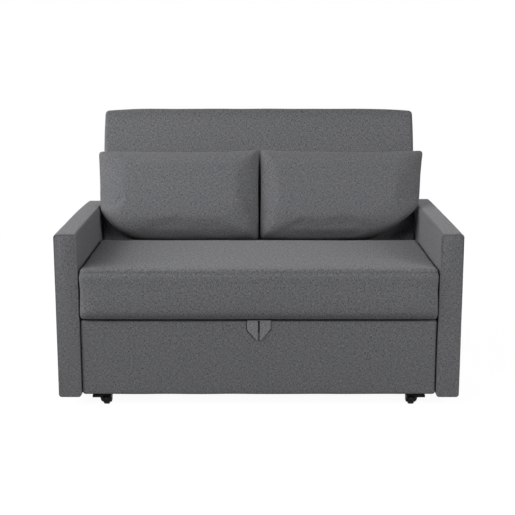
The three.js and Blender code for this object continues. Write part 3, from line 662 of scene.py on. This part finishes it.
# the cloth of each panel is laid by its length from the middle of the panel
def layPanels(mesh, across, up):
    keys = ("column", "row", "panel")
    column, row, panel = ([item.value for item in mesh.attributes[key].data] for key in keys)
    layer = mesh.uv_layers.new(name="cloth")
    for side in (0, 1):
        faces = [face for face in mesh.polygons if panel[face.index] == side]
        grid = {(column[i], row[i]): mesh.vertices[i].co for face in faces for i in face.vertices}
        alongRows = [lengthsAlong([grid[c, r] for c in range(across + 1)]) for r in range(up + 1)]
        alongColumns = [lengthsAlong([grid[c, r] for r in range(up + 1)]) for c in range(across + 1)]
        for face in faces:
            for loop in face.loop_indices:
                index = mesh.loops[loop].vertex_index
                c, r = column[index], row[index]
                layer.data[loop].uv = (alongRows[r][c], alongColumns[c][r])


def makePillow(side, place, shape, cloth):
    width = place["reach"][1] - place["reach"][0]
    across, up = (2 * round(length / 2 / shape["spacing"]) for length in (width, 2 * shape["halfHeight"]))
    bm = bmesh.new()
    steps = [bm.verts.layers.int.new(key) for key in ("column", "row")]
    panel = bm.faces.layers.int.new("panel")
    seam = seamLayerOf(bm)
    for layer in (0, 1):
        known = set(bm.verts)
        bmesh.ops.create_grid(bm, x_segments=across, y_segments=up, size=0.5)
        fresh = [vert for vert in bm.verts if vert not in known]
        for vert in fresh:
            column, row = round((vert.co.x + 0.5) * across), round((vert.co.y + 0.5) * up)
            vert[steps[0]], vert[steps[1]] = column, row
            onRim = column in (0, across) or row in (0, up)
            # the rim is marked as seam, with a little painted shade and puckers
            vert[seam] = shape["rimShade"] if onRim else 0
            vert.co = pillowPoint(2 * column / across - 1, 2 * row / up - 1, layer, shape, place)
            if onRim:
                vert.co.y = 0
        faces = list({face for vert in fresh for face in vert.link_faces})
        for face in faces:
            face[panel] = layer
        if layer:
            bmesh.ops.reverse_faces(bm, faces=faces)
    bmesh.ops.remove_doubles(bm, verts=[vert for vert in bm.verts if vert[seam] > 0], dist=closeness["rim"])
    inner = [vert for vert in bm.verts if vert[seam] == 0]
    for _ in range(shape["smoothSteps"]):
        bmesh.ops.smooth_vert(bm, verts=inner, factor=0.5, use_axis_y=True)
    addFolds([vert for vert in inner if vert.co.y < 0], width / 2, shape, place)
    mesh = bpy.data.meshes.new(f"pillowCover_{side}")
    bm.to_mesh(mesh)
    bm.free()
    piece = bpy.data.objects.new(f"pillowCover_{side}", mesh)
    scene.collection.objects.link(piece)
    sewn = [item.value > 0 for item in mesh.attributes["seam"].data]
    inflate(piece, cloth, [cloth["pin"] if held else 0 for held in sewn])
    layPanels(mesh, across, up)
    left, right = (end(v.co.x for v in mesh.vertices) for end in (min, max))
    foot, head = (end(v.co.z for v in mesh.vertices) for end in (min, max))
    for vert in mesh.vertices:
        vert.co.x = place["reach"][0] + (vert.co.x - left) * width / (right - left)
        vert.co.z = -shape["halfHeight"] + (vert.co.z - foot) * 2 * shape["halfHeight"] / (head - foot)
        vert.co.y += shape["tuck"] * max(0, -vert.co.z / shape["halfHeight"]) ** 2
    mesh.transform(leaned @ Matrix.Translation((0, -shape["forward"], shape["up"])))
    mesh.materials.append(sofaFabric)
    mesh.shade_smooth()
    smoother = piece.modifiers.new("smoother", "SUBSURF")
    smoother.levels = smoother.render_levels = 1
    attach(piece, f"pillow_{side}")
    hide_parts(f"pillow_{side}")


for side, place in pillowSides.items():
    makePillow(side, place, pillowShape, pillowCloth)
    report(f"pillow {side}")


# Padded blocks: seat, mattress, backrest and panels

def padBlock(low, high, shape):
    bm = blockBetween(low, high)
    upright = edgesWhere(bm, lambda a, b: abs(a.z - b.z) > abs(a.x - b.x) + abs(a.y - b.y))
    roundEdges(bm, upright, shape["sideRound"])
    for end, key in ((low[2], "footRound"), (high[2], "topRound")):
        roundEdges(bm, edgesAt(bm, 2, end), shape[key])
    for axis in range(3):
        cutEvenly(bm, axis, shape["spacing"])
    bm.normal_update()
    return bm


seamGroove = {
    "steps": (-0.010, -0.007, -0.0045, -0.003, -0.0015, 0, 0.0015, 0.003, 0.0045, 0.007, 0.010),
    "reach": 0.03, "steepest": 0.92, "wander": 0.0008, "wanderPitch": 14,
}


# a seam all round a block: a soft groove whose line wanders a little, with painted shade darkening the colour
# along it
def pressSeam(bm, axis, place, shape, seed, paintedShade=1):
    seam, width = seamLayerOf(bm), shape["seamWidth"]
    for step in seamGroove["steps"]:
        cutAt(bm, axis, place + step, closeness["seamCut"])
    bm.normal_update()
    for vert in bm.verts:
        gap = vert.co[axis] - place
        if abs(gap) < seamGroove["reach"] and abs(vert.normal[axis]) < seamGroove["steepest"]:
            wander = seamGroove["wander"] * softNoise(vert.co, seamGroove["wanderPitch"], seed)
            groove = math.exp(-((gap + wander) / width) ** 2)
            vert.co -= vert.normal * shape["seamDepth"] * groove
            vert[seam] = max(vert[seam], paintedShade * math.exp(-(gap / (2 * width)) ** 2))


def ripple(bm, shape):
    for vert in bm.verts:
        wave = softNoise(vert.co, shape["rippleScale"], shape["rippleSeed"])
        vert.co += vert.normal * shape["ripple"] * wave


seatShape = {
    "sideRound": 0.018, "footRound": 0.008, "topRound": 0.010, "spacing": 0.015, "widen": 0.0030,
    "footDrop": 0.0010, "edgeDrop": 0.0025, "crown": 0.0030, "sideBulge": 0.002, "frontBulge": 0.0062,
    "frontMargin": 0.001, "flatFoot": 0.9, "pinned": 0.02, "ripple": 0.0011, "rippleScale": 11,
    "rippleSeed": 5.2, "ridgeDrop": 0.0270, "ridge": 0.0030, "ridgeWidth": 0.0075, "ridgeTail": 4,
    "ridgeWander": 0.35, "ridgePitch": 9, "ridgeSeed": 4.4, "seamDrop": 0.0125, "seamRise": 0.007,
    "seamDepth": 0.0014, "seamWidth": 0.0058, "topSeamPaintedShade": 0.12, "topSeamSeed": 1.5, "footSeamSeed": 7.5,
    "drawnTop": 0.35,
}
seatCloth = dict(pillowCloth, tension=80, compression=80, bending=2.0, pressure=3.0, frames=12, cap=0.004,
                 pin=1.0)


def bow(share):
    return 1 - share * share


# padding is held softly short of a limit, so that the cushion has room to turn over
def heldBelow(value, limit, soft=0.004, room=0.0004):
    over = value - (limit - soft)
    reach = soft - room
    return value if over < 0 else limit - soft + reach * (1 - math.exp(-over / reach))


def makeSeat(shape, cloth):
    low, high = (Vector(corner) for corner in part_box("seat_cushion"))
    front, top = low.y, high.z
    low.y += shape["frontBulge"] + shape["frontMargin"]
    low.z -= shape["footDrop"]
    low.x, high.x = low.x - shape["widen"], high.x + shape["widen"]
    high.z -= shape["edgeDrop"]
    bm = padBlock(low, high, shape)
    middle, half = (low + high) / 2, (high - low) / 2
    ripple(bm, shape)
    for vert in bm.verts:
        x, y, z = ((vert.co[axis] - middle[axis]) / half[axis] for axis in range(3))
        x, y, z = (max(-1, min(1, value)) for value in (x, y, z))
        if z > 0:
            vert.co.z += shape["crown"] * bow(x ** 4) * bow(y ** 4) * z
        if y < 0:
            vert.co.y += shape["frontBulge"] * y * bow(x ** 6) * bow(z)
        vert.co.x += shape["sideBulge"] * x * bow(y ** 2) * bow(z ** 2)
        if z < -shape["flatFoot"]:
            vert.co.z = max(vert.co.z, low.z)
    mesh = orderedMesh("seatStart", bm)
    piece = bpy.data.objects.new("seatStart", mesh)
    scene.collection.objects.link(piece)
    held = low.z + shape["pinned"]
    inflate(piece, cloth, [cloth["pin"] if vert.co.z < held else 0 for vert in mesh.vertices])
    bm = bmesh.new()
    bm.from_mesh(mesh)
    bpy.data.objects.remove(piece)
    # the top seam gets only a light painted shade, the foot seam the full one
    pressSeam(bm, 2, high.z - shape["seamDrop"], shape, shape["topSeamSeed"], shape["topSeamPaintedShade"])
    for vert in bm.verts:
        gap = (high.z - shape["ridgeDrop"] - vert.co.z) / shape["ridgeWidth"]
        if vert.co.z > middle.z and abs(vert.normal.z) < seamGroove["steepest"]:
            wander = 1 + shape["ridgeWander"] * softNoise(vert.co, shape["ridgePitch"], shape["ridgeSeed"])
            fade = math.exp(-(gap if gap < 0 else gap / shape["ridgeTail"]) ** 2)
            vert.co += vert.normal * shape["ridge"] * wander * fade
    for vert in bm.verts:
        vert.co.y = -heldBelow(-vert.co.y, -front)
        vert.co.z = heldBelow(vert.co.z, top)
    pressSeam(bm, 2, low.z + shape["seamRise"], shape, shape["footSeamSeed"])
    addPiece("seatCover", bm, sofaFabric, "seat", "seat_cushion", shape["drawnTop"])


makeSeat(seatShape, seatCloth)
report("seat")

# it lies a little inside its CAD box, because its ripples go both ways
mattressShape = {
    "sideRound": 0.016, "footRound": 0.010, "topRound": 0.010, "spacing": 0.030, "inset": 0.001,
    "ripple": -0.0008, "rippleScale": 9, "rippleSeed": 2.2,
    "seamDrop": 0.009, "seamDepth": 0.0022, "seamWidth": 0.0022, "seamSeed": 4.4,
}


def makeMattress(shape):
    low, high = (Vector(corner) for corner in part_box("base_mattress"))
    inset = Vector((shape["inset"],) * 3)
    low, high = low + inset, high - inset
    bm = padBlock(low, high, shape)
    ripple(bm, shape)
    for place in (high.z - shape["seamDrop"], low.z + shape["seamDrop"]):
        pressSeam(bm, 2, place, shape, shape["seamSeed"])
    addPiece("mattressCover", bm, bedFabric, "frame", "base_mattress")


makeMattress(mattressShape)

frontPanelShape = {
    "sideRound": 0.0112, "footRound": 0.011, "topRound": 0.010, "spacing": 0.022, "widen": 0.0012,
    "footDrop": 0.0015, "crown": 0.0015, "ripple": 0.0009, "rippleScale": 8, "rippleSeed": 6.1,
}


def makeFrontPanel(shape):
    low, high = (Vector(corner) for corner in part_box("front_panel"))
    low.x, high.x = low.x - shape["widen"], high.x + shape["widen"]
    low.z -= shape["footDrop"]
    bm = padBlock(low, high, shape)
    middle, half = (low + high) / 2, (high - low) / 2
    for vert in bm.verts:
        if vert.co.y < middle.y:
            x, z = ((vert.co[axis] - middle[axis]) / half[axis] for axis in (0, 2))
            vert.co.y -= shape["crown"] * bow(min(1, abs(x)) ** 8) * bow(min(1, abs(z)) ** 3)
    ripple(bm, shape)
    addPiece("frontPanelCover", bm, sofaFabric, "trolley", "front_panel")


makeFrontPanel(frontPanelShape)

rearPanelShape = {
    "sideRound": 0.005, "footRound": 0.004, "topRound": 0.004, "spacing": 0.022,
    "ripple": 0.00045, "rippleScale": 8, "rippleSeed": 3.3,
}


def makeRearPanel(shape):
    low, high = (Vector(corner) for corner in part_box("rear_panel"))
    bm = padBlock(low, high, shape)
    ripple(bm, shape)
    addPiece("rearPanelCover", bm, sofaFabric, "frame", "rear_panel")


makeRearPanel(rearPanelShape)

stripShape = {"sideRound": 0.0007, "footRound": 0.0006, "topRound": 0.0006, "spacing": 0.030}


def makeHingeStrip(shape):
    low, high = (Vector(corner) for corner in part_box("seat_hinge_strip"))
    bm = padBlock(low, high, shape)
    addPiece("hingeStrip", bm, stripAndShadeFabric, "frame", "seat_hinge_strip")


makeHingeStrip(stripShape)
report("mattress and panels")

backShape = {
    "halfWidth": 0.598, "halfDepth": 0.062, "rise": 0.717, "sideRound": 0.016, "footRound": 0.0600,
    "footSteps": 10, "topRound": 0.013, "topSteps": 6, "spacing": 0.020, "frontCrown": 0.0055,
    "topCrown": 0.0085, "widen": 0.0035, "footWiden": 0.0085, "footReach": 0.4, "blendReach": 0.2,
    "topDraw": 0.0055, "ripple": 0.0016, "rippleScale": 7, "rippleSeed": 9.7, "seamPlace": 0.040,
    "seamDepth": 0.0026, "seamWidth": 0.0022, "seamSeed": 2.9, "rimShade": 0.4, "rimFade": 0.022,
}


def makeBackrest(shape):
    low = Vector((-shape["halfWidth"], -shape["halfDepth"], -shape["halfDepth"]))
    high = Vector((shape["halfWidth"], shape["halfDepth"], shape["rise"]))
    bm = blockBetween(low, high)
    foot = edgesWhere(bm, lambda a, b: abs(a.x - b.x) > shape["halfWidth"] and a.z < 0)
    roundEdges(bm, foot, shape["footRound"], shape["footSteps"])
    headLine = shape["rise"] - closeness["rim"]
    head = edgesWhere(bm, lambda a, b: abs(a.x - b.x) > shape["halfWidth"] and a.z > headLine)
    roundEdges(bm, head, shape["topRound"], shape["topSteps"])
    for end in (-shape["halfWidth"], shape["halfWidth"]):
        roundEdges(bm, edgesAt(bm, 0, end), shape["sideRound"])
    for axis in range(3):
        cutEvenly(bm, axis, shape["spacing"])
    bm.normal_update()
    ripple(bm, shape)
    for vert in bm.verts:
        across = bow(min(1, abs(vert.co.x) / shape["halfWidth"]) ** 4)
        up = max(0, min(1, vert.co.z / shape["rise"]))
        if vert.co.y < 0:
            vert.co.y -= shape["frontCrown"] * across * bow(abs(2 * up - 1) ** 2)
        blend = max(0, min(1, (up - shape["footReach"]) / shape["blendReach"]))
        widen = shape["widen"] * blend - shape["topDraw"] * up ** 10
        widen += shape["footWiden"] * (1 - blend)
        vert.co.x += widen * vert.co.x / shape["halfWidth"]
        vert.co.z += shape["topCrown"] * across * up ** 3
    pressSeam(bm, 1, shape["seamPlace"], shape, shape["seamSeed"])
    seam = seamLayerOf(bm)
    # the top rim is darkened in colour: painted shade, which keeps it from looking lit from above
    for vert in bm.verts:
        gap = (shape["rise"] - vert.co.z) / shape["rimFade"]
        vert[seam] = max(vert[seam], shape["rimShade"] * math.exp(-gap * abs(gap)))
    bmesh.ops.transform(bm, matrix=leaned, verts=bm.verts)
    addPiece("backrestCover", bm, sofaFabric, "backrest", "backrest_pad")


makeBackrest(backShape)

rearCoverShape = {
    "halfWidth": 0.5755, "foot": 0.0305, "head": 0.6745, "front": 0.0600, "rear": 0.0650,
    "sideRound": 0.0024, "footRound": 0.002, "topRound": 0.002, "spacing": 0.030,
    "ripple": 0.0006, "rippleScale": 8, "rippleSeed": 1.1,
}


def makeRearCover(shape):
    low = (-shape["halfWidth"], shape["front"], shape["foot"])
    high = (shape["halfWidth"], shape["rear"], shape["head"])
    bm = padBlock(low, high, shape)
    ripple(bm, shape)
    bmesh.ops.transform(bm, matrix=leaned, verts=bm.verts)
    addPiece("backrestRearCover", bm, sofaFabric, "backrest", "backrest_rear_cover")


makeRearCover(rearCoverShape)
report("backrest")

# Pull tab: a strap folded to a point, with a slit between its two strands

tabShape = {
    "halfWidth": 0.0405, "slit": 0.0070, "tipSlit": 0.0058, "shoulder": 0.0345, "tip": 0.0735,
    "thick": 0.0034, "edge": 0.0009, "edgeSteps": 3, "spacing": 0.004, "flare": 0.0014, "slant": 0.0035,
    "shadeBorder": 0.0022, "paintedShadeSheet": 0.0008, "turn": 0.0026, "panelGap": 0.0006,
}


def tabOutline(shape, side, top, shadeBorder):
    shoulder = top - shape["shoulder"] + (shape["slant"] if side > 0 else 0)
    inner = (shape["slit"] / 2, shape["tipSlit"] / 2) if shadeBorder == 0 else (0, 0)
    foot, outer = top - shape["tip"] - shadeBorder, shape["halfWidth"] + shadeBorder
    corners = [
        (inner[0], top), (outer, top), (outer, shoulder - shadeBorder / 2),
        (shape["tipSlit"] + shadeBorder / 2, foot), (inner[1], foot),
    ]
    return [(side * x, z) for x, z in corners]


def plateFrom(bm, outline, front, rear):
    face = bm.faces.new([bm.verts.new((x, front, z)) for x, z in outline])
    made = bmesh.ops.extrude_face_region(bm, geom=[face])
    verts = [item for item in made["geom"] if isinstance(item, bmesh.types.BMVert)]
    bmesh.ops.translate(bm, vec=(0, rear - front, 0), verts=verts)


# a dark sheet behind the two strands shows through the slit and as a thin border round them: painted shade,
# standing in for the shadow in the slit and the strap's shadow on the panel
def makeTab(shape):
    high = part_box("pull_tab")[1]
    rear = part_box("front_panel")[0].y - shape["panelGap"]
    middle = rear - shape["paintedShadeSheet"]
    bm = bmesh.new()
    for side in (-1, 1):
        plateFrom(bm, tabOutline(shape, side, high.z, 0), middle - shape["thick"], middle)
    turned = blockBetween((-shape["halfWidth"], middle - shape["thick"], high.z - shape["turn"]),
                          (shape["halfWidth"], high.y, high.z))
    mesh = bpy.data.meshes.new("turned")
    turned.to_mesh(mesh)
    turned.free()
    bm.from_mesh(mesh)
    bmesh.ops.recalc_face_normals(bm, faces=bm.faces)
    roundEdges(bm, bm.edges[:], shape["edge"], shape["edgeSteps"])
    cutEvenly(bm, 2, shape["spacing"])
    for vert in bm.verts:
        share = max(0, (high.z - vert.co.z) / shape["tip"])
        vert.co.y -= shape["flare"] * share ** 2
    addPiece("pullTabStrap", bm, tabFabric, "trolley", "pull_tab")
    paintedShadeSheet = bmesh.new()
    sides = [tabOutline(shape, side, high.z - shape["turn"], shape["shadeBorder"]) for side in (1, -1)]
    plateFrom(paintedShadeSheet, sides[0][1:4] + sides[1][3:0:-1], middle, rear)
    bmesh.ops.recalc_face_normals(paintedShadeSheet, faces=paintedShadeSheet.faces)
    addPiece("pullTabPaintedShade", paintedShadeSheet, stripAndShadeFabric, "trolley")


makeTab(tabShape)
report("pull tab")
